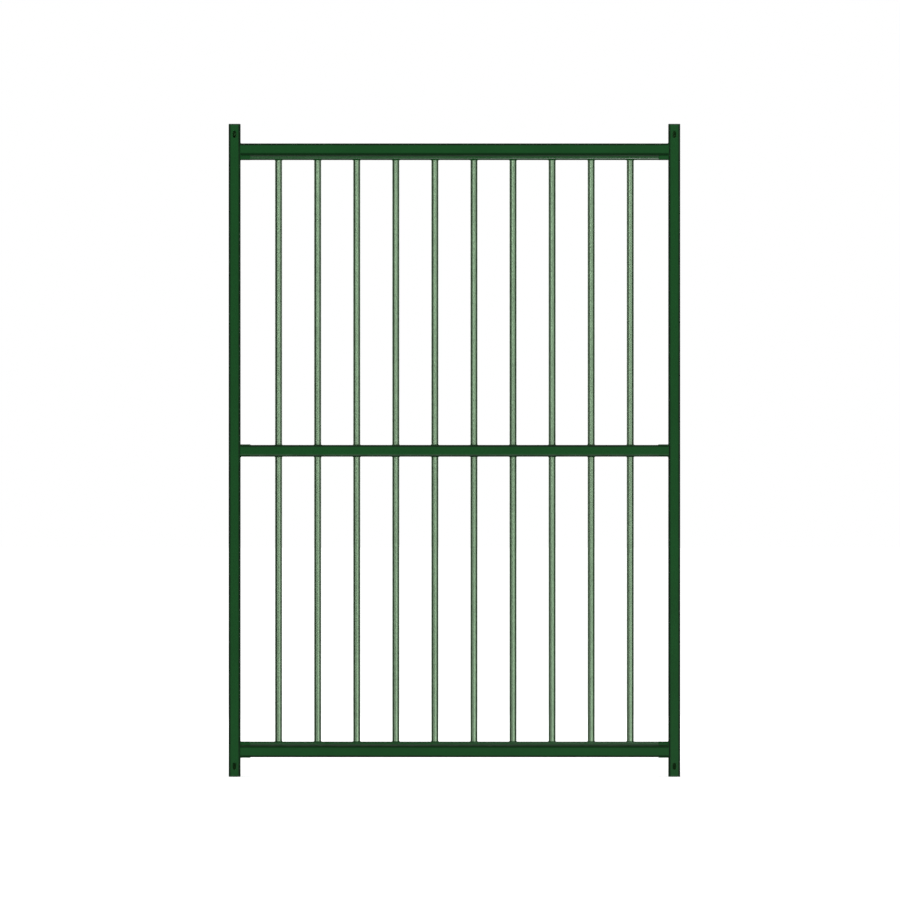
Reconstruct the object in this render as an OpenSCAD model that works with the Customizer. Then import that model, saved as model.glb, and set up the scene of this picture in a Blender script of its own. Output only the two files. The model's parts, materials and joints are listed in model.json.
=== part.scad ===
// Livestock pen panel: a welded frame of square tube with two rows of upright round bars.
// Millimetres. +Z is up and the front faces -Y.
// The origin is on the ground, under the middle of the panel.

/* [Panel] */
// Width over the two posts
overall_w = 1155; // [900:5:1600]
// Height over the end caps of the posts
overall_h = 1670; // [1100:5:2200]
// How far each post runs past the rails, at both ends
post_reach = 50; // [40:1:120]

/* [Frame tube] */
// Side of the square tube of the posts and rails
tube = 30; // [25:1:50]
// Wall of the square tube
tube_wall = 2; // [1.5:0.25:3]
// Outer corner radius of the square tube
tube_corner = 4.5; // [3:0.25:4.5]

/* [Bars] */
// Number of bars in each row
bar_count = 10; // [4:1:14]
// Distance from a post's inner face to the axis of the nearest bar
end_bay = 97.5; // [40:0.5:160]
// Outer diameter of a bar
bar_d = 18; // [12:0.5:22]
// Wall of a bar's tube
bar_wall = 1.5; // [1:0.25:2.5]
// How far a bar's end goes into the middle rail
bar_seat = 8; // [4:0.5:12]
// Space between a bar's other end and the rail behind the shallower channel
bar_end_gap = 1; // [0.5:0.5:4]

/* [Bar carriers] */
// Height of the channel under the top rail
top_carrier_h = 12; // [10:0.5:25]
// Height of the channel on the bottom rail
bottom_carrier_h = 9.5; // [7.5:0.5:25]
// Sheet thickness of the channels and of their end pieces
carrier_sheet = 1.5; // [1:0.25:2.5]
// Outer bend radius of the channels
carrier_bend = 6; // [3:0.5:7]
// How far the channels and end pieces stand back from the rail's front and back faces
carrier_setback = 3; // [3:0.25:4]
// Length of each end piece, measured from the post
end_piece_l = 25; // [15:1:40]
// Space left between a channel and its end pieces, filled by the weld
end_gap = 0.2; // [0:0.1:0.5]

/* [Joint straps] */
// Thickness of the straps at the ends of the middle rail
mid_strap_t = 1.5; // [1:0.25:3]
// Thickness of the straps under the ends of the bottom rail
foot_strap_t = 1.5; // [1:0.25:3]
// Length of each strap, measured from the post
strap_l = 25; // [15:1:40]
// How far a strap stands back from the rail's front and back faces
strap_setback = 4.5; // [4.5:0.25:7]

/* [Bolt slots] */
// Width of a slot
slot_w = 9; // [6:0.5:12]
// Length of a slot, end to end
slot_l = 18; // [13:0.5:30]
// Distance from the end of the panel to the middle of a slot
slot_from_end = 27; // [25:0.5:60]

/* [End caps] */
// Thickness of a cap's head, which closes the post's end
cap_head = 2.5; // [1.5:0.25:5]
// How far a cap's plug goes into the post
cap_plug_l = 12; // [8:0.5:15]
// Wall of a cap's plug
cap_plug_wall = 2; // [1.5:0.25:3]

/* [Fits] */
// Clearance all round a bar in its hole
bar_clearance = 0.25; // [0.1:0.05:0.5]
// Clearance all round a cap's plug in the post
plug_clearance = 0.2; // [0.1:0.05:0.4]

/* [Hidden] */

$fn = 64;
// A cutter runs this far past the face that it cuts
through = 1;

frame_green = [0.11, 0.29, 0.15];
bar_green = [0.60, 0.70, 0.58];
cap_black = [0.06, 0.08, 0.06];

// Across the panel
rail_l = overall_w - 2 * tube;
post_x = (rail_l + tube) / 2;
carrier_l = rail_l - 2 * (end_piece_l + end_gap);
carrier_depth = tube - 2 * carrier_setback;
strap_depth = tube - 2 * strap_setback;

// Up the panel, each height being the underside of its piece
post_l = overall_h - 2 * cap_head;
bottom_rail_z = post_reach;
top_rail_z = overall_h - post_reach - tube;
bottom_carrier_z = bottom_rail_z + tube;
top_carrier_z = top_rail_z - top_carrier_h;

// The middle rail sits half way up the opening, so both rows of bars show the same length
opening_bottom_z = bottom_carrier_z + bottom_carrier_h;
middle_rail_z = (opening_bottom_z + top_carrier_z - tube) / 2;

// All the bars are one length, and go equally far into the channels
carrier_seat = min(top_carrier_h, bottom_carrier_h) - bar_end_gap;
bar_l = carrier_seat + middle_rail_z - opening_bottom_z + bar_seat;
upper_bar_z = middle_rail_z + tube - bar_seat;
lower_bar_z = opening_bottom_z - carrier_seat;
bar_hole_d = bar_d + 2 * bar_clearance;

// Bar axes, counted from the left and spread evenly between the two end bays
bar_pitch = (rail_l - 2 * end_bay) / (bar_count - 1);
function bar_x(i) = (i - (bar_count - 1) / 2) * bar_pitch;

// A bar's node name ends in its number, in two digits counted from 1
function bar_node(row, i) = str(row, "_bar_", i < 9 ? "0" : "", i + 1);

// Cross-sections

module rounded_square(side, r) {
    square([side, side - 2 * r], center = true);
    square([side - 2 * r, side], center = true);
    for (x = [-1, 1], y = [-1, 1])
        translate([x * (side / 2 - r), y * (side / 2 - r)])
            circle(r);
}

module tube_section() {
    difference() {
        rounded_square(tube, tube_corner);
        rounded_square(tube - 2 * tube_wall, tube_corner - tube_wall);
    }
}

// A block with two rounded lower corners, its top edge on y = h
module tray_block(w, h, r) {
    intersection() {
        union() {
            translate([-w / 2, r])
                square([w, h]);
            translate([-w / 2 + r, 0])
                square([w - 2 * r, h]);
            for (x = [-1, 1])
                translate([x * (w / 2 - r), r])
                    circle(r);
        }
        translate([-w / 2, 0])
            square([w, h]);
    }
}

// The folded channel, open upwards
module channel_section(h) {
    difference() {
        tray_block(carrier_depth, h, carrier_bend);
        translate([0, carrier_sheet])
            tray_block(carrier_depth - 2 * carrier_sheet, h, carrier_bend - carrier_sheet);
    }
}

// The end piece's channel, with square corners and open upwards
module end_piece_section(h) {
    inner_w = carrier_depth - 2 * carrier_sheet;
    difference() {
        translate([-carrier_depth / 2, 0])
            square([carrier_depth, h]);
        translate([-inner_w / 2, carrier_sheet])
            square([inner_w, h]);
    }
}

// Lays a section along X, from x = 0, with the section's own y pointing up
module along_x(length) {
    rotate([90, 0, 90])
        linear_extrude(length)
            children();
}

// Parts

module slot_cutter(z) {
    half = (slot_l - slot_w) / 2;
    front_y = -tube / 2 - through;
    depth = tube_wall + 2 * through;
    for (dz = [-half, half])
        translate([0, front_y, z + dz])
            rotate([-90, 0, 0])
                cylinder(d = slot_w, h = depth);
    translate([-slot_w / 2, front_y, z - half])
        cube([slot_w, depth, 2 * half]);
}

module post(x) {
    color(frame_green)
        translate([x, 0, 0])
            difference() {
                translate([0, 0, cap_head])
                    linear_extrude(post_l)
                        tube_section();
                slot_cutter(slot_from_end);
                slot_cutter(overall_h - slot_from_end);
            }
}

module rail(z) {
    translate([-rail_l / 2, 0, z + tube / 2])
        along_x(rail_l)
            tube_section();
}

module bar_holes(z, depth) {
    for (i = [0 : bar_count - 1])
        translate([bar_x(i), 0, z])
            cylinder(d = bar_hole_d, h = depth);
}

module top_rail() {
    color(frame_green)
        rail(top_rail_z);
}

module bottom_rail() {
    color(frame_green)
        rail(bottom_rail_z);
}

module middle_rail() {
    color(frame_green)
        difference() {
            rail(middle_rail_z);
            bar_holes(middle_rail_z - through, tube + 2 * through);
        }
}

module top_carrier() {
    color(frame_green)
        difference() {
            translate([-carrier_l / 2, 0, top_carrier_z])
                along_x(carrier_l)
                    channel_section(top_carrier_h);
            bar_holes(top_carrier_z - through, top_carrier_h + 2 * through);
        }
}

module bottom_carrier() {
    color(frame_green)
        difference() {
            translate([-carrier_l / 2, 0, opening_bottom_z])
                mirror([0, 0, 1])
                    along_x(carrier_l)
                        channel_section(bottom_carrier_h);
            bar_holes(bottom_carrier_z - through, bottom_carrier_h + 2 * through);
        }
}

// side is -1 for the left post and 1 for the right one
module end_piece_start(side) {
    x = side < 0 ? -rail_l / 2 : rail_l / 2 - end_piece_l;
    translate([x, 0, 0])
        children();
}

module top_end_piece(side) {
    color(frame_green)
        end_piece_start(side)
            translate([0, 0, top_carrier_z])
                along_x(end_piece_l)
                    end_piece_section(top_carrier_h);
}

module bottom_end_piece(side) {
    color(frame_green)
        end_piece_start(side)
            translate([0, 0, opening_bottom_z])
                mirror([0, 0, 1])
                    along_x(end_piece_l)
                        end_piece_section(bottom_carrier_h);
}

module strap(side, z, thickness) {
    x = side < 0 ? -rail_l / 2 : rail_l / 2 - strap_l;
    color(frame_green)
        translate([x, -strap_depth / 2, z])
            cube([strap_l, strap_depth, thickness]);
}

// A cap with its head's outer face on z = 0 and its plug pointing up
module cap() {
    hole = tube - 2 * tube_wall;
    hole_corner = tube_corner - tube_wall;
    plug = hole - 2 * plug_clearance;
    plug_corner = max(hole_corner - plug_clearance, 0.5);
    inner = plug - 2 * cap_plug_wall;
    color(cap_black)
        difference() {
            union() {
                linear_extrude(cap_head)
                    rounded_square(tube, tube_corner);
                linear_extrude(cap_head + cap_plug_l)
                    rounded_square(plug, plug_corner);
            }
            translate([-inner / 2, -inner / 2, cap_head])
                cube([inner, inner, cap_plug_l + through]);
        }
}

module bottom_cap(x) {
    translate([x, 0, 0])
        cap();
}

module top_cap(x) {
    translate([x, 0, overall_h])
        mirror([0, 0, 1])
            cap();
}

module bar(i, z) {
    color(bar_green)
        translate([bar_x(i), 0, z])
            difference() {
                cylinder(d = bar_d, h = bar_l);
                translate([0, 0, -through])
                    cylinder(d = bar_d - 2 * bar_wall, h = bar_l + 2 * through);
            }
}

post(-post_x);  // left_post
post(post_x);  // right_post
top_rail();
middle_rail();
bottom_rail();
top_carrier();
bottom_carrier();
top_end_piece(-1);  // top_left_end_piece
top_end_piece(1);  // top_right_end_piece
bottom_end_piece(-1);  // bottom_left_end_piece
bottom_end_piece(1);  // bottom_right_end_piece
strap(-1, middle_rail_z + tube, mid_strap_t);  // middle_left_strap
strap(1, middle_rail_z + tube, mid_strap_t);  // middle_right_strap
strap(-1, bottom_rail_z - foot_strap_t, foot_strap_t);  // bottom_left_strap
strap(1, bottom_rail_z - foot_strap_t, foot_strap_t);  // bottom_right_strap
top_cap(-post_x);  // left_post_top_cap
bottom_cap(-post_x);  // left_post_bottom_cap
top_cap(post_x);  // right_post_top_cap
bottom_cap(post_x);  // right_post_bottom_cap
for (i = [0 : bar_count - 1]) {
    bar(i, upper_bar_z);
    bar(i, lower_bar_z);
}
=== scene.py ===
"""Finishes a livestock pen panel: paint on tubes and bars, moulded caps, weld beads and a plain studio."""

import json
import math

import bmesh
import bpy
from bpy.props import FloatProperty, FloatVectorProperty, IntProperty, PointerProperty
from bpy.types import Operator, Panel, PropertyGroup
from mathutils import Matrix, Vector

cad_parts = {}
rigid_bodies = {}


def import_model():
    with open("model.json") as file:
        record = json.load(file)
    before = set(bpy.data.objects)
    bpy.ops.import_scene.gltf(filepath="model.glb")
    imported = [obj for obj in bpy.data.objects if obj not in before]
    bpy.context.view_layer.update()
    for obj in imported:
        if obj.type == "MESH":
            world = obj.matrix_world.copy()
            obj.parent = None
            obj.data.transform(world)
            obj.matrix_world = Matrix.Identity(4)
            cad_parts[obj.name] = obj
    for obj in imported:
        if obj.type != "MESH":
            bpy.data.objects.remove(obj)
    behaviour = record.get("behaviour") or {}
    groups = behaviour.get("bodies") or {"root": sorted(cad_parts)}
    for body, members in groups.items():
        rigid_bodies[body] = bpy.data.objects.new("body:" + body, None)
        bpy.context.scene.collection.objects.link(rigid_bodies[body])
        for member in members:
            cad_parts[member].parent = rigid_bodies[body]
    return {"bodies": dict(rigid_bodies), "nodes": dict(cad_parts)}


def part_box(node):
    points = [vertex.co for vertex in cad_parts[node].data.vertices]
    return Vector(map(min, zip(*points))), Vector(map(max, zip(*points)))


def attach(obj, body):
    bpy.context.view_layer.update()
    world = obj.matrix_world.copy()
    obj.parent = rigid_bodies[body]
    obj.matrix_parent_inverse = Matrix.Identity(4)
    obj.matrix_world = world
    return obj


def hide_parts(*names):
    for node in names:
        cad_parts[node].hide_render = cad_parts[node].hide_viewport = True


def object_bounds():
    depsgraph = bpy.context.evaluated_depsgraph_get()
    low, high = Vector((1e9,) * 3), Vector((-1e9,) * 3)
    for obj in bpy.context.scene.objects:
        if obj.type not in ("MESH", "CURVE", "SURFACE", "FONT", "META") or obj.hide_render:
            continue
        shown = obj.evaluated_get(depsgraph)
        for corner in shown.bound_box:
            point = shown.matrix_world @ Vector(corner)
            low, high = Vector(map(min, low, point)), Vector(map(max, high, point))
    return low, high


bl_info = {
    "name": "Livestock pen panel",
    "version": (1, 0, 0),
    "blender": (4, 5, 0),
    "location": "View3D > Sidebar > Pen panel",
    "description": "Paints a welded pen panel and makes its caps, straps and weld beads",
    "category": "Object",
}

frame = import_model()
CAD_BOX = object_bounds()
NODES = frame["nodes"]
BODY = next(iter(frame["bodies"]))
MM = 0.001
RAILS = ("top_rail", "middle_rail", "bottom_rail")
POSTS = ("left_post", "right_post")
END_PIECES = tuple(f"{row}_{side}_end_piece" for row in ("top", "bottom") for side in ("left", "right"))
STRAPS = tuple(f"{row}_{side}_strap" for row in ("middle", "bottom") for side in ("left", "right"))
CAPS = tuple(f"{post}_{end}_cap" for post in POSTS for end in ("top", "bottom"))
BARS = sorted(name for name in NODES if "_bar_" in name)
UPPER_BARS = [name for name in BARS if name.startswith("upper")]


def size_of(node):
    """The length of a node's box along X, Y and Z."""
    low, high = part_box(node)
    return high - low


def middle_of(node):
    """The middle of a node's box."""
    low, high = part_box(node)
    return (low + high) / 2


TUBE = size_of("left_post").x
TUBE_CORNER = 4.5 * MM
BAR_D = size_of(UPPER_BARS[0]).x
BAR_PITCH = middle_of(UPPER_BARS[1]).x - middle_of(UPPER_BARS[0]).x
RAIL_L = size_of("top_rail").x
STRAP_L = size_of("middle_left_strap").x
OBJECT_MIDDLE = (CAD_BOX[0] + CAD_BOX[1]) / 2


# Settings


def colour(name, description, default):
    """A colour setting, in linear light."""
    return FloatVectorProperty(
        name=name, description=description, subtype="COLOR", size=3, min=0.0, max=1.0, default=default
    )


def length(name, description, default):
    """A length setting, in metres."""
    return FloatProperty(
        name=name,
        description=description,
        subtype="DISTANCE",
        unit="LENGTH",
        min=0.0,
        precision=5,
        default=default,
    )


def share(name, description, default):
    """A setting from 0 to 1."""
    return FloatProperty(
        name=name, description=description, subtype="FACTOR", min=0.0, max=1.0, default=default
    )


def number(name, description, default):
    """A setting with no unit that is never below 0."""
    return FloatProperty(name=name, description=description, min=0.0, default=default)


def whole_number(name, description, default):
    """A setting that counts pieces."""
    return IntProperty(name=name, description=description, min=1, max=20, default=default)


class PaintSettings(PropertyGroup):
    """The paints of the frame and bars, and the plastic of the caps."""

    frame_colour: colour("Frame paint", "Green of the posts, rails and channels", (0.0022, 0.0475, 0.0072))
    # Painted shade: the tubes' rounded corners are darkened in this colour
    corner_shade_colour: colour("Painted corner shade", "Painted shade on the tube's corners", (0.0022, 0.0115, 0.0036))
    # Painted shade: dark lines in the creases beside the channels and along edges of rails, channels and
    # end pieces
    crease_shade_colour: colour("Painted shade", "Painted shade in creases and along edges", (0.0014, 0.0200, 0.0036))
    # Painted highlight: a pale line along the channels' bends and the middle rail's lower corner
    painted_highlight_colour: colour("Painted highlight", "Painted highlight along the bends", (0.150, 0.200, 0.150))
    inner_colour: colour("Paint in the posts", "Thin paint seen through the slots", (0.08, 0.28, 0.08))
    chip_colour: colour("Zinc under the paint", "Metal where a corner is chipped", (0.14, 0.16, 0.14))
    bar_colour: colour("Bar paint", "Pale sage green of the bars", (0.33, 0.50, 0.315))
    cap_colour: colour("Cap plastic", "Dark green of the end caps", (0.0060, 0.0400, 0.0120))
    dust_colour: colour("Dust", "Pale dust on faces that look up", (0.22, 0.24, 0.19))
    frame_roughness: share("Frame roughness", "Roughness of the frame's satin paint", 0.52)
    channel_roughness: share("Channel roughness", "Roughness of the smoother paint on the channels", 0.28)
    bar_roughness: share("Bar roughness", "Roughness of the bars' metallic paint", 0.31)
    bar_metallic: share("Bar metal", "How metallic the bars' paint is", 0.98)
    cap_roughness: share("Cap roughness", "Roughness of the moulded plastic", 0.55)
    dust_amount: share("Dust amount", "How much dust lies on faces that look up", 0.15)
    chip_amount: share("Chips", "How far chips spread along the corners", 0.15)


class WeldSettings(PropertyGroup):
    """The sizes of the weld beads."""

    rail_bead: length("Rail bead", "Radius of the beads that join rails to posts", 1.8 * MM)
    bar_bead: length("Bar bead", "Radius of the beads round the bars", 1.2 * MM)
    strap_bead: length("Strap bead", "Radius of the beads along straps and end pieces", 0.9 * MM)
    stitch_bead: length("Stitch bead", "Radius of the stitches behind the channels", 1.4 * MM)
    stitch_length: length("Stitch length", "Length of one stitch", 30 * MM)
    stitch_count: whole_number("Stitches", "Stitches behind each channel", 6)
    ripple_pitch: length("Ripple pitch", "Distance from one ripple of a bead to the next", 1.9 * MM)
    ripple_depth: share("Ripple depth", "Depth of the ripples, as a share of the bead's radius", 0.22)


class CapSettings(PropertyGroup):
    """The shape of a moulded end cap."""

    head_depth: length("Head", "Thickness of the head outside the tube", 2.5 * MM)
    chamfer: length("Edge", "Size of the head's rounded edge", 1.0 * MM)
    dish_depth: length("Dish", "Depth of the shallow dish in the head", 0.35 * MM)
    plug_gap: length("Plug gap", "Distance from the tube's outside to the plug", 2.2 * MM)
    plug_wall: length("Plug wall", "Wall of the hollow plug", 2.0 * MM)


class StageSettings(PropertyGroup):
    """The camera, lights and floor."""

    lens: FloatProperty(
        name="Lens", description="Focal length of the camera in millimetres", min=20, default=300
    )
    view_width: length("View width", "Width of the view at the panel", 2.3033)
    view_left: length("View left", "How far the camera stands to the left of the panel's middle", 11.3 * MM)
    view_up: length("View up", "How far the camera stands above the panel's middle", 0.8 * MM)
    panel_glow: number("Front panels", "Brightness of the soft panels in front", 1.0)
    back_glow: number("Back panels", "Brightness of the soft panels behind", 0.85)
    top_glow: number("Overhead", "Brightness of the overhead light", 8.0)
    low_glow: number("Low", "Brightness of the low light", 27.0)
    sky: number("Sky", "Brightness of the even light from all sides", 1.0)


# Materials


class Nodes:
    """Adds and joins the nodes of one node tree."""

    def __init__(self, tree):
        self.tree = tree
        self.tree.nodes.clear()

    def add(self, kind, inputs=None, **settings):
        """Adds a node, sets it, and feeds its inputs with values or with other nodes' outputs."""
        node = self.tree.nodes.new(kind)
        for key, value in settings.items():
            setattr(node, key, value)
        for key, value in (inputs or {}).items():
            if isinstance(value, bpy.types.NodeSocket):
                self.tree.links.new(value, node.inputs[key])
            else:
                node.inputs[key].default_value = value
        return node

    def math(self, operation, a, b=0.0, clamp=False):
        """One sum, and its result."""
        node = self.add("ShaderNodeMath", {0: a, 1: b}, operation=operation, use_clamp=clamp)
        return node.outputs[0]

    def ramp(self, value, low, high, out_low=0.0, out_high=1.0):
        """Maps low..high smoothly to out_low..out_high."""
        node = self.add(
            "ShaderNodeMapRange",
            {"Value": value, "From Min": low, "From Max": high, "To Min": out_low, "To Max": out_high},
            interpolation_type="SMOOTHSTEP",
        )
        return node.outputs["Result"]

    def mix(self, amount, a, b):
        """Mixes two colours."""
        node = self.add("ShaderNodeMix", {0: amount}, data_type="RGBA")
        for socket, value in ((node.inputs[6], a), (node.inputs[7], b)):
            if isinstance(value, bpy.types.NodeSocket):
                self.tree.links.new(value, socket)
            else:
                socket.default_value = (*value, 1.0)
        return node.outputs[2]

    def noise(self, place, scale, detail=2.0, roughness=0.5):
        """A noise pattern."""
        inputs = {"Vector": place, "Scale": scale, "Detail": detail, "Roughness": roughness}
        return self.add("ShaderNodeTexNoise", inputs).outputs["Fac"]

    def stretched(self, place, centre=(0, 0, 0), scale=(1, 1, 1)):
        """Moves a pattern's centre to a place and stretches it."""
        start = [-c * s for c, s in zip(centre, scale)]
        node = self.add("ShaderNodeMapping", {"Vector": place, "Location": start, "Scale": scale})
        return node.outputs["Vector"]


def shaded(rgb, factor):
    """A colour made lighter or darker."""
    return tuple(min(c * factor, 1.0) for c in rgb)


def new_material(name, viewport):
    """A material with empty nodes, and the helper that fills them."""
    material = bpy.data.materials.new(name)
    material.use_nodes = True
    material.diffuse_color = (*viewport, 1.0)
    return material, Nodes(material.node_tree)


def facing_up(n):
    """Where the surface looks up."""
    normal = n.add("ShaderNodeNewGeometry").outputs["Normal"]
    up = n.add("ShaderNodeSeparateXYZ", {0: normal}).outputs["Z"]
    return n.ramp(up, 0.45, 0.95)


def finish_paint(n, base, roughness, bumps, metallic=0.0, specular=0.5):
    """Ends a paint with its shader. bumps pairs heights in metres with patterns, from large to small."""
    normal = None
    for height, value in bumps:
        inputs = {"Height": value, "Distance": height, "Strength": 1.0}
        if normal is not None:
            inputs["Normal"] = normal
        normal = n.add("ShaderNodeBump", inputs).outputs["Normal"]
    shader = n.add(
        "ShaderNodeBsdfPrincipled",
        {
            "Base Color": base,
            "Roughness": roughness,
            "Normal": normal,
            "Metallic": metallic,
            "Specular IOR Level": specular,
        },
    )
    n.add("ShaderNodeOutputMaterial", {"Surface": shader.outputs[0]})


def tube_masks(n, place, centre, across):
    """Masks for a square tube: its corners, which get painted shade, their tips, and its inside.

    across names the two axes of the tube's section.
    """
    flat = (TUBE / 2 - TUBE_CORNER,) * 3
    inner_skin, outer_skin = TUBE_CORNER - 1.6 * MM, TUBE_CORNER - 0.6 * MM
    section = n.stretched(place, centre, [1.0 if axis in across else 0.0 for axis in "XYZ"])
    section = n.add("ShaderNodeVectorMath", {0: section}, operation="ABSOLUTE").outputs[0]
    section = n.add("ShaderNodeVectorMath", {0: section, 1: flat}, operation="SUBTRACT").outputs[0]
    parts = n.add("ShaderNodeSeparateXYZ", {0: section})
    nearest = n.math("MINIMUM", *[parts.outputs[axis] for axis in across])
    corner = n.ramp(nearest, -0.5 * TUBE_CORNER, 0.3 * TUBE_CORNER)
    tip = n.ramp(nearest, 0.1 * TUBE_CORNER, 0.6 * TUBE_CORNER)
    past = n.add("ShaderNodeVectorMath", {0: section, 1: (0, 0, 0)}, operation="MAXIMUM").outputs[0]
    reach = n.add("ShaderNodeVectorMath", {0: past}, operation="LENGTH").outputs["Value"]
    inside = n.ramp(reach, inner_skin, outer_skin, 1.0, 0.0)
    return corner, tip, inside


def line_mask(n, place, height, reach, ends_only=False):
    """1 near a height, and 0 beyond a reach from it. ends_only keeps the part next to the posts."""
    parts = n.add("ShaderNodeSeparateXYZ", {0: place})
    distance = n.math("ABSOLUTE", n.math("SUBTRACT", parts.outputs["Z"], height))
    mask = n.ramp(distance, 0.55 * reach, 1.15 * reach, 1.0, 0.0)
    if ends_only:
        out = n.math("ABSOLUTE", parts.outputs["X"])
        start = RAIL_L / 2 - STRAP_L
        mask = n.math("MULTIPLY", mask, n.ramp(out, start - MM, start + MM))
    return mask


def frame_paint(
    name, paint, centre=None, across=None, shade_lines=(), rubs_and_highlights=(), roughness=None, specular=0.08, dustiness=1.0
):
    """Satin dark green powder coat, with painted shade and small chips along the corners of a tube.

    Each line of painted shade gives its height, reach, how dark, and whether only next to the posts.
    Each painted highlight along a bend gives its height, reach and how pale.
    dustiness scales the dust amount of the settings.
    """
    material, n = new_material(name, paint.frame_colour)
    place = n.add("ShaderNodeTexCoord").outputs["Object"]
    green = tuple(paint.frame_colour)
    clouds = n.noise(place, scale=5.0, detail=4.0)
    specks = n.noise(place, scale=700.0, detail=2.0)
    base = n.mix(n.ramp(clouds, 0.3, 0.7), shaded(green, 0.93), shaded(green, 1.07))
    base = n.mix(n.ramp(specks, 0.35, 0.75, 0.0, 0.35), base, shaded(green, 1.35))
    rough = n.math("ADD", n.ramp(clouds, 0.3, 0.7, -0.04, 0.05), roughness or paint.frame_roughness)
    inside = None
    if across:
        corner, tip, inside = tube_masks(n, place, centre, across)
        patches = n.noise(place, scale=22.0, detail=5.0, roughness=0.65)
        patches = n.ramp(patches, 0.35, 0.6, 0.70, 1.0)
        # Painted shade: the corners are darkened in patches
        base = n.mix(n.math("MULTIPLY", corner, patches), base, tuple(paint.corner_shade_colour))
        spread = 0.75 - 0.25 * paint.chip_amount
        knocks = n.ramp(n.noise(place, scale=9.0, detail=3.0), 0.45, 0.65, 0.0, 0.06)
        flakes = n.math("ADD", n.noise(place, scale=330.0, detail=4.0, roughness=0.6), knocks)
        chips = n.math("MULTIPLY", n.ramp(flakes, spread, spread + 0.03), tip)
        base = n.mix(chips, base, tuple(paint.chip_colour))
        rough = n.math("ADD", rough, n.math("MULTIPLY", corner, 0.25))
    # Painted highlight: pale streaky lines along bends
    for height, reach, pale in rubs_and_highlights:
        streaks = n.stretched(place, scale=(0.25, 1.0, 1.0))
        streaks = n.noise(streaks, scale=90.0, detail=5.0, roughness=0.65)
        line = line_mask(n, place, height, reach)
        patchy = n.ramp(streaks, 0.30, 0.65, 0.5 * pale, pale)
        highlight = n.math("MULTIPLY", line, patchy)
        base = n.mix(highlight, base, tuple(paint.painted_highlight_colour))
    # Painted shade: dark lines in creases and along edges
    for height, reach, dark, ends_only in shade_lines:
        patchy = n.ramp(clouds, 0.3, 0.6, 0.8 * dark, dark)
        painted_shade = n.math("MULTIPLY", line_mask(n, place, height, reach, ends_only), patchy)
        base = n.mix(painted_shade, base, tuple(paint.crease_shade_colour))
        rough = n.math("ADD", rough, n.math("MULTIPLY", painted_shade, 0.6))
    up = facing_up(n)
    drift = n.ramp(n.noise(place, scale=60.0, detail=5.0), 0.25, 0.75, 0.4, 1.0)
    dust = n.math("MULTIPLY", up, drift)
    dust = n.math("MULTIPLY", dust, paint.dust_amount * dustiness)
    base = n.mix(dust, base, tuple(paint.dust_colour))
    rough = n.math("ADD", rough, n.math("MULTIPLY", dust, 0.5))
    if inside:
        base = n.mix(inside, base, tuple(paint.inner_colour))
    peel = n.noise(place, scale=420.0, detail=1.5)
    finish_paint(n, base, rough, [(0.08 * MM, peel), (0.02 * MM, specks)], specular=specular)
    return material


def bar_paint(name, paint):
    """Pale sage paint with a metallic glint, over tube that keeps faint lines from drawing."""
    material, n = new_material(name, paint.bar_colour)
    place = n.add("ShaderNodeTexCoord").outputs["Object"]
    sage = tuple(paint.bar_colour)
    clouds = n.noise(place, scale=9.0, detail=4.0)
    drawn = n.stretched(place, scale=(1.0, 1.0, 0.012))
    drawn = n.noise(drawn, scale=900.0, detail=3.0)
    specks = n.noise(place, scale=1100.0, detail=2.0)
    base = n.mix(n.ramp(clouds, 0.3, 0.7), shaded(sage, 0.92), shaded(sage, 1.06))
    base = n.mix(n.ramp(drawn, 0.4, 0.7, 0.0, 0.12), base, shaded(sage, 0.70))
    rough = n.math("ADD", n.ramp(specks, 0.3, 0.7, -0.03, 0.05), paint.bar_roughness)
    peel = n.noise(place, scale=380.0, detail=1.5)
    bumps = [(0.02 * MM, peel), (0.006 * MM, drawn)]
    finish_paint(n, base, rough, bumps, metallic=paint.bar_metallic, specular=0.35)
    return material


def cap_plastic(name, paint):
    """Moulded plastic with a fine spark-eroded grain and pale rubs."""
    material, n = new_material(name, paint.cap_colour)
    place = n.add("ShaderNodeTexCoord").outputs["Object"]
    dark = tuple(paint.cap_colour)
    rubs_and_highlights = n.stretched(place, scale=(1.0, 0.3, 1.0))
    rubs_and_highlights = n.noise(rubs_and_highlights, scale=160.0, detail=5.0, roughness=0.7)
    rubs_and_highlights = n.ramp(rubs_and_highlights, 0.56, 0.72)
    grain = n.noise(place, scale=1800.0, detail=3.0)
    base = n.mix(n.ramp(grain, 0.3, 0.7), shaded(dark, 0.85), shaded(dark, 1.25))
    base = n.mix(n.math("MULTIPLY", rubs_and_highlights, 0.30), base, shaded(dark, 4.0))
    rough = n.math("ADD", n.math("MULTIPLY", rubs_and_highlights, 0.12), paint.cap_roughness)
    finish_paint(n, base, rough, [(0.06 * MM, grain)], specular=0.4)
    return material


def give_material(node, material):
    """Puts a material on every slot of a CAD node."""
    for entry in NODES[node].material_slots:
        entry.material = material


# Meshes


def new_piece(name, mesh, material):
    """Adds a finished mesh to the scene as a piece of the panel."""
    mesh.name = name
    piece = bpy.data.objects.new(name, mesh)
    bpy.context.scene.collection.objects.link(piece)
    mesh.materials.clear()
    mesh.materials.append(material)
    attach(piece, BODY)
    return piece


def evaluated_mesh(source):
    """The mesh that an object's modifiers give. The object itself is removed."""
    graph = bpy.context.evaluated_depsgraph_get()
    mesh = bpy.data.meshes.new_from_object(source.evaluated_get(graph), depsgraph=graph)
    old = source.data
    bpy.data.objects.remove(source)
    bpy.data.meshes.remove(old)
    return mesh


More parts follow.
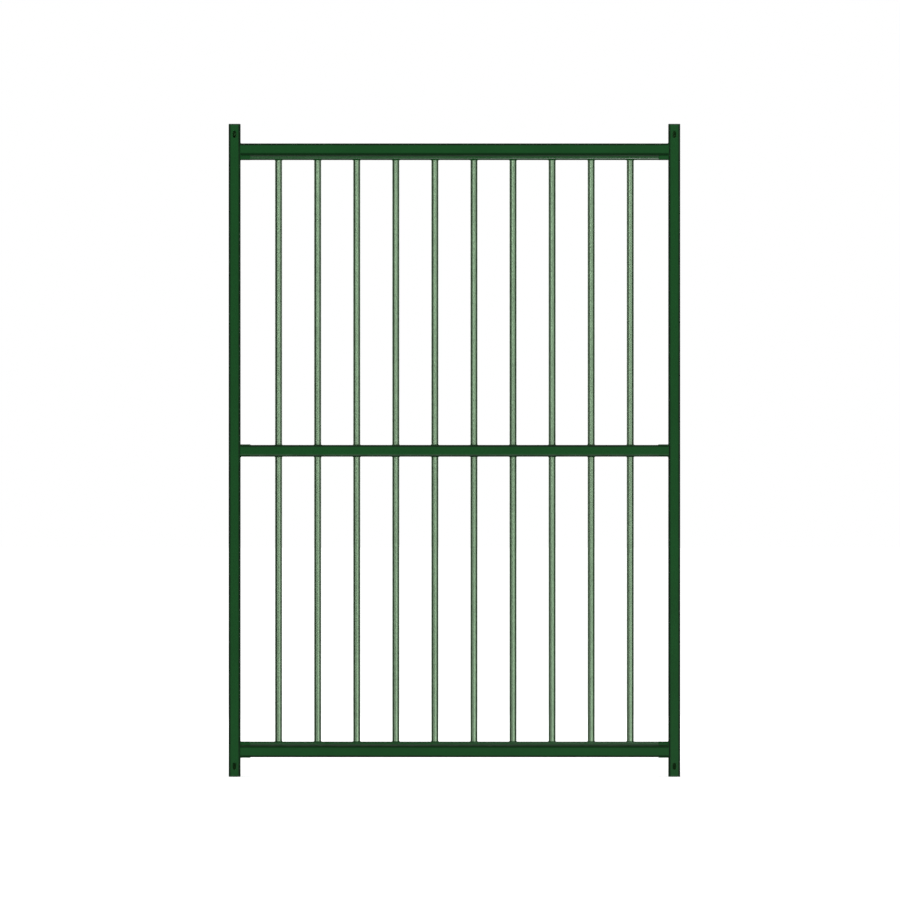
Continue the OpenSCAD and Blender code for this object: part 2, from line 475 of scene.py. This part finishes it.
def softened_copy(node, width):
    """A copy of a CAD node whose sharp edges are rounded by a small width."""
    shape = bmesh.new()
    shape.from_mesh(NODES[node].data)
    bmesh.ops.remove_doubles(shape, verts=shape.verts, dist=0.01 * MM)
    flat = math.radians(1)
    bmesh.ops.dissolve_limit(shape, angle_limit=flat, verts=shape.verts, edges=shape.edges)
    mesh = bpy.data.meshes.new(node + "_soft")
    shape.to_mesh(mesh)
    shape.free()
    mesh.shade_smooth()
    source = bpy.data.objects.new(node + "_soft", mesh)
    bpy.context.scene.collection.objects.link(source)
    bevel = source.modifiers.new("rounded edges", "BEVEL")
    bevel.width = width
    bevel.segments = 3
    bevel.limit_method = "ANGLE"
    bevel.angle_limit = math.radians(30)
    bevel.harden_normals = True
    return evaluated_mesh(source)


def square_ring(half, radius, height, steps=8):
    """The points of a square with rounded corners, level at a height."""
    points = []
    for corner in range(4):
        start = corner * math.pi / 2
        middle = start + math.pi / 4
        centre = Vector((math.cos(middle), math.sin(middle))) * (half - radius) * math.sqrt(2)
        for step in range(steps + 1):
            angle = start + step / steps * math.pi / 2
            x = centre.x + radius * math.cos(angle)
            y = centre.y + radius * math.sin(angle)
            points.append((x, y, height))
    return points


def lofted(rings):
    """A closed mesh through rings of equal length, with a face at both ends."""
    shape = bmesh.new()
    loops = [[shape.verts.new(point) for point in ring] for ring in rings]
    points = len(rings[0])
    for lower, upper in zip(loops, loops[1:]):
        for i in range(points):
            j = (i + 1) % points
            shape.faces.new((lower[i], lower[j], upper[j], upper[i]))
    shape.faces.new(reversed(loops[0]))
    shape.faces.new(loops[-1])
    bmesh.ops.recalc_face_normals(shape, faces=shape.faces)
    return shape


def cap_shape(cap, depth):
    """An end cap with its outer face on z = 0: a dished head with a soft edge, and a hollow plug."""
    half = TUBE / 2
    plug = half - cap.plug_gap
    inner = plug - cap.plug_wall
    edge = cap.chamfer
    corner = TUBE_CORNER
    # The dish, from its middle out to the flat rim
    rings = [
        square_ring(half - 5.5 * edge, corner * 0.6, cap.dish_depth),
        square_ring(half - 4.0 * edge, corner * 0.7, cap.dish_depth * 0.3),
        square_ring(half - 3.2 * edge, corner * 0.75, 0.0),
    ]
    # The rounded edge
    steps = 4
    for step in range(steps + 1):
        angle = step / steps * math.pi / 2
        inset = edge * (1 - math.sin(angle))
        rings.append(square_ring(half - inset, corner - inset * 0.6, edge * (1 - math.cos(angle))))
    # The back of the head, then the plug's outside, its tapered lead and its inside
    lead = 0.8 * MM
    plug_corner, lead_corner, inner_corner = 1.3 * MM, 1.0 * MM, 0.6 * MM
    rings += [
        square_ring(half, corner, cap.head_depth),
        square_ring(plug, plug_corner, cap.head_depth),
        square_ring(plug, plug_corner, depth - lead),
        square_ring(plug - lead / 2, lead_corner, depth),
        square_ring(inner, inner_corner, depth),
        square_ring(inner, inner_corner, cap.head_depth),
    ]
    return lofted(rings)


# Weld beads


def bead_tree():
    """Geometry Nodes that turn paths into rippled weld beads and repeat them along X."""
    tree = bpy.data.node_groups.new("weld bead", "GeometryNodeTree")
    sockets = (
        ("Path", "INPUT", "NodeSocketGeometry"),
        ("Bead radius", "INPUT", "NodeSocketFloat"),
        ("Ripple pitch", "INPUT", "NodeSocketFloat"),
        ("Ripple depth", "INPUT", "NodeSocketFloat"),
        ("Corner radius", "INPUT", "NodeSocketFloat"),
        ("Copies", "INPUT", "NodeSocketInt"),
        ("Spacing", "INPUT", "NodeSocketFloat"),
        ("Paint", "INPUT", "NodeSocketMaterial"),
        ("Beads", "OUTPUT", "NodeSocketGeometry"),
    )
    for name, side, kind in sockets:
        tree.interface.new_socket(name, in_out=side, socket_type=kind)
    n = Nodes(tree)
    given = n.add("NodeGroupInput").outputs
    path = n.add("GeometryNodeMeshToCurve", {"Mesh": given["Path"]}).outputs[0]
    path = n.add(
        "GeometryNodeFilletCurve",
        {"Curve": path, "Count": 5, "Radius": given["Corner radius"], "Limit Radius": True},
        mode="POLY",
    ).outputs[0]
    steps_a_ripple = 6.0
    step = n.math("DIVIDE", given["Ripple pitch"], steps_a_ripple)
    path = n.add("GeometryNodeResampleCurve", {"Curve": path, "Length": step}, mode="LENGTH").outputs[0]
    along = n.add("GeometryNodeSplineParameter").outputs["Factor"]
    total = n.add("GeometryNodeSplineLength").outputs["Length"]
    ripples = n.math("ROUND", n.math("DIVIDE", total, given["Ripple pitch"]))
    turn = n.math("MULTIPLY", n.math("MULTIPLY", along, ripples), math.pi)
    crest = n.math("MULTIPLY", n.math("ABSOLUTE", n.math("SINE", turn)), given["Ripple depth"])
    place = n.add("GeometryNodeInputPosition").outputs[0]
    uneven = n.math("MULTIPLY", n.math("SUBTRACT", n.noise(place, scale=140.0), 0.5), 0.5)
    scale = n.math("ADD", n.math("ADD", n.math("SUBTRACT", 1.0, given["Ripple depth"]), crest), uneven)
    circle = {"Resolution": 10, "Radius": given["Bead radius"]}
    profile = n.add("GeometryNodeCurvePrimitiveCircle", circle, mode="RADIUS").outputs[0]
    sweep = {"Curve": path, "Profile Curve": profile, "Scale": scale, "Fill Caps": True}
    bead = n.add("GeometryNodeCurveToMesh", sweep).outputs[0]
    bead = n.add("GeometryNodeSetShadeSmooth", {"Geometry": bead, "Shade Smooth": True}).outputs[0]
    offset = n.add("ShaderNodeCombineXYZ", {"X": given["Spacing"]}).outputs[0]
    places = n.add("GeometryNodeMeshLine", {"Count": given["Copies"], "Offset": offset}).outputs[0]
    beads = n.add("GeometryNodeInstanceOnPoints", {"Points": places, "Instance": bead}).outputs[0]
    beads = n.add("GeometryNodeRealizeInstances", {"Geometry": beads}).outputs[0]
    beads = n.add("GeometryNodeSetMaterial", {"Geometry": beads, "Material": given["Paint"]}).outputs[0]
    n.add("NodeGroupOutput", {"Beads": beads})
    return tree


def path_mesh(paths):
    """A mesh of edges through each path. A path is its points and whether it closes."""
    points, edges = [], []
    for path, closed in paths:
        first = len(points)
        points += [tuple(point) for point in path]
        count = len(path)
        edges += [(first + i, first + i + 1) for i in range(count - 1)]
        if closed:
            edges.append((first + count - 1, first))
    mesh = bpy.data.meshes.new("path")
    mesh.from_pydata(points, edges, [])
    return mesh


def make_beads(name, paths, radius, corner=0.0, copies=1, spacing=0.0):
    """Makes one piece of weld beads along paths."""
    weld = bpy.context.scene.pen_weld
    tree = bpy.data.node_groups.get("weld bead") or bead_tree()
    source = bpy.data.objects.new(name + "_path", path_mesh(paths))
    bpy.context.scene.collection.objects.link(source)
    modifier = source.modifiers.new("weld bead", "NODES")
    modifier.node_group = tree
    paint = bpy.data.materials["weld_paint"]
    values = {
        "Bead radius": radius,
        "Ripple pitch": weld.ripple_pitch,
        "Ripple depth": weld.ripple_depth,
        "Corner radius": corner,
        "Copies": copies,
        "Spacing": spacing,
        "Paint": paint,
    }
    for item in tree.interface.items_tree:
        if item.item_type == "SOCKET" and item.name in values:
            modifier[item.identifier] = values[item.name]
    mesh = evaluated_mesh(source)
    if not mesh.polygons:
        raise RuntimeError(name + " came out empty")
    new_piece(name, mesh, paint)


def ring_path(centre, radius, count=40):
    """A level ring."""
    turn = 2 * math.pi / count
    return [centre + Vector((math.cos(i * turn), math.sin(i * turn), 0)) * radius for i in range(count)]


# Operators


class PENPANEL_OT_paint_frame(Operator):
    """Paint the posts, rails and channels"""

    bl_idname = "penpanel.paint_frame"
    bl_label = "Paint the frame"

    def execute(self, context):
        paint = context.scene.pen_paint
        for node in POSTS:
            give_material(node, frame_paint(node + "_paint", paint, middle_of(node), ("X", "Y")))
        top_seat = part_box("top_rail")[0].z
        bottom_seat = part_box("bottom_rail")[1].z
        middle_low, middle_high = (corner.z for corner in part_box("middle_rail"))
        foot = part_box("bottom_rail")[0].z
        # Painted shade: dark lines in the creases beside the channels, and along the middle and bottom
        # rails' edges next to the posts
        crease, end = 6.0 * MM, 4.8 * MM
        shade_lines = {
            "top_rail": [(top_seat, crease, 1.0, False)],
            "middle_rail": [(middle_low, end, 1.0, True), (middle_high, end, 1.0, True)],
            "bottom_rail": [(bottom_seat, crease, 1.0, False), (foot, end, 1.0, True)],
        }
        # Painted highlight: a pale line along the middle rail's lower corner
        rail_bend, rail_reach, rail_pale = 4.2 * MM, 3.0 * MM, 0.12
        rubs_and_highlights = {"middle_rail": [(middle_low + rail_bend, rail_reach, rail_pale)]}
        for node in RAILS:
            lines = shade_lines[node], rubs_and_highlights.get(node, ())
            finish = frame_paint(node + "_paint", paint, middle_of(node), ("Y", "Z"), *lines)
            give_material(node, finish)
        # Where a channel is seated, and how far the painted highlight along its bend is from its free edge
        channels = (("top_carrier", top_seat, 5.3 * MM), ("bottom_carrier", bottom_seat, 3.0 * MM))
        bend_reach, bend_pale = 2.2 * MM, 0.04
        for node, seat, bend in channels:
            edge = 2 * middle_of(node).z - seat
            # Painted shade in the crease at the channel's seat and along its free edge
            shade_rows = [(seat, 3.0 * MM, 1.0, False), (edge, 1.8 * MM, 0.6, False)]
            # Painted highlight along the channel's bend
            highlight_rows = [(edge + math.copysign(bend, seat - edge), bend_reach, bend_pale)]
            smooth = {"roughness": paint.channel_roughness, "specular": 0.35, "dustiness": 0.3}
            give_material(node, frame_paint(node + "_paint", paint, shade_lines=shade_rows, rubs_and_highlights=highlight_rows, **smooth))
        frame_paint("weld_paint", paint)
        return {"FINISHED"}


class PENPANEL_OT_paint_bars(Operator):
    """Paint the upright bars"""

    bl_idname = "penpanel.paint_bars"
    bl_label = "Paint the bars"

    def execute(self, context):
        sage = bar_paint("bar_paint_finish", context.scene.pen_paint)
        for node in BARS:
            give_material(node, sage)
        return {"FINISHED"}


class PENPANEL_OT_end_caps(Operator):
    """Make the moulded caps that close the posts"""

    bl_idname = "penpanel.end_caps"
    bl_label = "Make the end caps"

    def execute(self, context):
        plastic = cap_plastic("cap_plastic_finish", context.scene.pen_paint)
        for node in CAPS:
            low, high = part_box(node)
            shape = cap_shape(context.scene.pen_cap, high.z - low.z)
            at_top = "_top_" in node
            for vert in shape.verts:
                vert.co.z = high.z - vert.co.z if at_top else low.z + vert.co.z
                vert.co.x += (low.x + high.x) / 2
            bmesh.ops.recalc_face_normals(shape, faces=shape.faces)
            mesh = bpy.data.meshes.new(node)
            shape.to_mesh(mesh)
            shape.free()
            mesh.shade_smooth()
            mesh.set_sharp_from_angle(angle=math.radians(40))
            piece = new_piece("moulded_" + node, mesh, plastic)
            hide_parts(node)
        return {"FINISHED"}


class PENPANEL_OT_small_plates(Operator):
    """Make the straps and channel end pieces, with softened edges"""

    bl_idname = "penpanel.small_plates"
    bl_label = "Make straps and end pieces"

    def execute(self, context):
        paint = context.scene.pen_paint
        strap = frame_paint("strap_paint", paint)
        top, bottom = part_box("top_left_end_piece"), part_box("bottom_left_end_piece")
        # Painted shade along the end pieces' upper and lower edges
        shade_rows = [
            (top[1].z, 2.0 * MM, 0.8, False),
            (top[0].z, 2.5 * MM, 0.7, False),
            (bottom[0].z, 2.5 * MM, 1.0, False),
            (bottom[1].z, 5.0 * MM, 0.5, False),
        ]
        end_piece = frame_paint("end_piece_paint", paint, shade_lines=shade_rows)
        for node in STRAPS + END_PIECES:
            mesh = softened_copy(node, width=0.35 * MM)
            finish = strap if node in STRAPS else end_piece
            piece = new_piece("soft_" + node, mesh, finish)
            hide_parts(node)
        return {"FINISHED"}


class PENPANEL_OT_rail_welds(Operator):
    """Make the weld beads round both ends of each rail"""

    bl_idname = "penpanel.rail_welds"
    bl_label = "Make rail welds"

    def execute(self, context):
        bead = context.scene.pen_weld.rail_bead
        for node in RAILS:
            low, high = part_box(node)
            # Set in from the rail's faces, so that a bead never stands proud of the posts
            depth = high.y - 1.3 * bead
            corners = ((-depth, low.z), (depth, low.z), (depth, high.z), (-depth, high.z))
            ring = [(low.x, y, z) for y, z in corners]
            make_beads(node + "_welds", [(ring, True)], bead, TUBE_CORNER, copies=2, spacing=RAIL_L)
        return {"FINISHED"}


class PENPANEL_OT_bar_welds(Operator):
    """Make the weld rings where the bars enter the channels and the middle rail"""

    bl_idname = "penpanel.bar_welds"
    bl_label = "Make bar welds"

    def execute(self, context):
        bead = context.scene.pen_weld.bar_bead
        rail_low, rail_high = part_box("middle_rail")
        rows = {
            "top_channel_bar_welds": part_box("top_carrier")[0].z,
            "middle_rail_upper_bar_welds": rail_high.z,
            "middle_rail_lower_bar_welds": rail_low.z,
            "bottom_channel_bar_welds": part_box("bottom_carrier")[1].z,
        }
        first = middle_of(UPPER_BARS[0])
        for name, height in rows.items():
            ring = ring_path(Vector((first.x, first.y, height)), BAR_D / 2 + bead * 0.25)
            make_beads(name, [(ring, True)], bead, copies=len(UPPER_BARS), spacing=BAR_PITCH)
        return {"FINISHED"}


class PENPANEL_OT_plate_welds(Operator):
    """Make the weld beads along the straps, the end pieces and the backs of the channels"""

    bl_idname = "penpanel.plate_welds"
    bl_label = "Make plate welds"

    def execute(self, context):
        weld = context.scene.pen_weld
        for row, seat in (("middle", "middle_rail"), ("bottom", "bottom_rail")):
            paths = []
            for side, sign in (("left", 1), ("right", -1)):
                low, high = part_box(f"{row}_{side}_strap")
                post_x, free_x = (low.x, high.x) if sign > 0 else (high.x, low.x)
                rail_low, rail_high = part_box(seat)
                z = rail_high.z if low.z >= rail_high.z - MM else rail_low.z
                corners = ((post_x, low.y), (free_x, low.y), (free_x, high.y), (post_x, high.y))
                paths.append(([(x, y, z) for x, y in corners], False))
            make_beads(row + "_strap_welds", paths, weld.strap_bead, corner=MM)
        for row in ("top", "bottom"):
            low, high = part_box(f"{row}_left_end_piece")
            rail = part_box(f"{row}_rail")
            seat, free = (high.z, low.z) if row == "top" else (low.z, high.z)
            corners = ((low.y, seat), (low.y, free), (high.y, free), (high.y, seat))
            path = [(rail[0].x, y, z) for y, z in corners]
            name = row + "_end_piece_welds"
            make_beads(name, [(path, False)], weld.strap_bead, corner=MM, copies=2, spacing=RAIL_L)
        for row in ("top", "bottom"):
            low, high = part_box(row + "_carrier")
            seat = high.z if row == "top" else low.z
            spacing = (high.x - low.x) / weld.stitch_count
            start = low.x + (spacing - weld.stitch_length) / 2
            y = high.y + 0.1 * weld.stitch_bead
            path = [(start, y, seat), (start + weld.stitch_length, y, seat)]
            name = row + "_channel_stitches"
            make_beads(name, [(path, False)], weld.stitch_bead, copies=weld.stitch_count, spacing=spacing)
        return {"FINISHED"}


def soft_panel(name, place, aim, width, height, glow, diffuse=True):
    """A soft rectangular light that looks at a point. Its glow is what a mirror would show of it."""
    data = bpy.data.lights.new(name, "AREA")
    data.shape = "RECTANGLE"
    data.size = width
    data.size_y = height
    data.energy = glow * width * height * math.pi
    light = bpy.data.objects.new(name, data)
    light.location = place
    light.rotation_euler = (Vector(aim) - Vector(place)).to_track_quat("-Z", "Y").to_euler()
    light.visible_diffuse = diffuse
    bpy.context.scene.collection.objects.link(light)


def pale_floor(radius):
    """A wide round floor that can be seen from above only."""
    shape = bmesh.new()
    bmesh.ops.create_circle(shape, cap_ends=True, radius=radius, segments=96)
    mesh = bpy.data.meshes.new("floor")
    shape.to_mesh(mesh)
    shape.free()
    material, n = new_material("pale_floor", (0.95, 0.95, 0.95))
    place = n.add("ShaderNodeTexCoord").outputs["Object"]
    clouds = n.ramp(n.noise(place, scale=0.7, detail=3.0), 0.3, 0.7)
    tone = n.mix(clouds, (0.90, 0.90, 0.90), (0.93, 0.93, 0.93))
    pale = n.add("ShaderNodeBsdfDiffuse", {"Color": tone}).outputs[0]
    glow = n.add("ShaderNodeEmission", {"Color": (1, 1, 1, 1), "Strength": 0.25}).outputs[0]
    top = n.add("ShaderNodeAddShader", {0: pale, 1: glow}).outputs[0]
    clear = n.add("ShaderNodeBsdfTransparent").outputs[0]
    under = n.add("ShaderNodeNewGeometry").outputs["Backfacing"]
    surface = n.add("ShaderNodeMixShader", {0: under, 1: top, 2: clear}).outputs[0]
    n.add("ShaderNodeOutputMaterial", {"Surface": surface})
    mesh.materials.append(material)
    floor = bpy.data.objects.new("floor", mesh)
    bpy.context.scene.collection.objects.link(floor)
    floor.visible_glossy = False
    floor.visible_shadow = False


class PENPANEL_OT_stage(Operator):
    """Set up the floor, the soft lights and the camera"""

    bl_idname = "penpanel.stage"
    bl_label = "Set up the studio"

    def execute(self, context):
        scene = context.scene
        stage = scene.pen_stage
        pale_floor(radius=45.0)
        world = bpy.data.worlds.new("studio")
        scene.world = world
        world.use_nodes = True
        n = Nodes(world.node_tree)
        sky = n.add("ShaderNodeBackground", {"Color": (1, 1, 1, 1), "Strength": stage.sky}).outputs[0]
        n.add("ShaderNodeOutputWorld", {"Surface": sky})
        world.cycles_visibility.glossy = False
        scene.view_settings.view_transform = "Standard"
        middle = OBJECT_MIDDLE
        away = 4.5
        below, above = -1.8, 3.6  # The lower and upper ends of the panels
        # Angle from straight in front, width, and how bright the upper and lower halves are
        panels = (
            (-42, 1.4, 0.60, 0.72),
            (-19, 1.2, 2.25, 0.55),
            (21, 1.2, 1.40, 1.02),
            (46, 1.4, 0.90, 1.00),
        )
        for angle, width, upper, lower in panels:
            turn = math.radians(angle)
            front = Vector((math.sin(turn), -math.cos(turn), 0)) * away
            for low, high, glow in ((below, middle.z, lower), (middle.z, above, upper)):
                aim = Vector((middle.x, middle.y, (low + high) / 2))
                glow *= stage.panel_glow
                soft_panel(f"front_panel_{angle}", aim + front, aim, width, high - low, glow)
            aim = Vector((middle.x, middle.y, (below + above) / 2))
            glow = (lower + upper) / 2 * stage.back_glow
            soft_panel(f"back_panel_{angle}", aim - front, aim, width, above - below, glow)
        # These two give reflections only, such as the light line along the channels
        overhead = {"place": (0.9, -1.5, 3.2), "aim": (0.3, 0, 0.1), "width": 0.9, "height": 1.2}
        underneath = {"place": (1.6, -4.6, -3.0), "aim": (0.3, 0, 1.5), "width": 2.0, "height": 2.0}
        soft_panel("overhead", **overhead, glow=stage.top_glow, diffuse=False)
        soft_panel("low", **underneath, glow=stage.low_glow, diffuse=False)
        data = bpy.data.cameras.new("camera")
        data.lens = stage.lens
        data.sensor_width = 36.0
        camera = bpy.data.objects.new("camera", data)
        distance = stage.view_width / data.sensor_width * stage.lens
        camera.location = middle + Vector((-stage.view_left, -distance, stage.view_up))
        camera.rotation_euler = (math.pi / 2, 0, 0)
        data.clip_end = 200.0
        scene.collection.objects.link(camera)
        scene.camera = camera
        return {"FINISHED"}


STEPS = (
    PENPANEL_OT_paint_frame,
    PENPANEL_OT_paint_bars,
    PENPANEL_OT_end_caps,
    PENPANEL_OT_small_plates,
    PENPANEL_OT_rail_welds,
    PENPANEL_OT_bar_welds,
    PENPANEL_OT_plate_welds,
    PENPANEL_OT_stage,
)


class PENPANEL_PT_sidebar(Panel):
    """The steps that finish the pen panel, and their settings"""

    bl_label = "Pen panel"
    bl_idname = "PENPANEL_PT_sidebar"
    bl_space_type = "VIEW_3D"
    bl_region_type = "UI"
    bl_category = "Pen panel"

    def draw(self, context):
        for step in STEPS:
            self.layout.operator(step.bl_idname)
        for name in SETTINGS:
            settings = getattr(context.scene, name)
            box = self.layout.box()
            for key in settings.__annotations__:
                box.prop(settings, key)


SETTINGS = {
    "pen_paint": PaintSettings,
    "pen_weld": WeldSettings,
    "pen_cap": CapSettings,
    "pen_stage": StageSettings,
}
CLASSES = (*SETTINGS.values(), *STEPS, PENPANEL_PT_sidebar)


def register():
    for entry in CLASSES:
        bpy.utils.register_class(entry)
    for name, group in SETTINGS.items():
        setattr(bpy.types.Scene, name, PointerProperty(type=group))


def unregister():
    for name in SETTINGS:
        delattr(bpy.types.Scene, name)
    for entry in reversed(CLASSES):
        bpy.utils.unregister_class(entry)


def main():
    """Makes the whole panel."""
    register()
    bpy.ops.penpanel.paint_frame()
    bpy.ops.penpanel.paint_bars()
    bpy.ops.penpanel.end_caps()
    bpy.ops.penpanel.small_plates()
    bpy.ops.penpanel.rail_welds()
    bpy.ops.penpanel.bar_welds()
    bpy.ops.penpanel.plate_welds()
    bpy.ops.penpanel.stage()


if __name__ == "__main__":
    main()
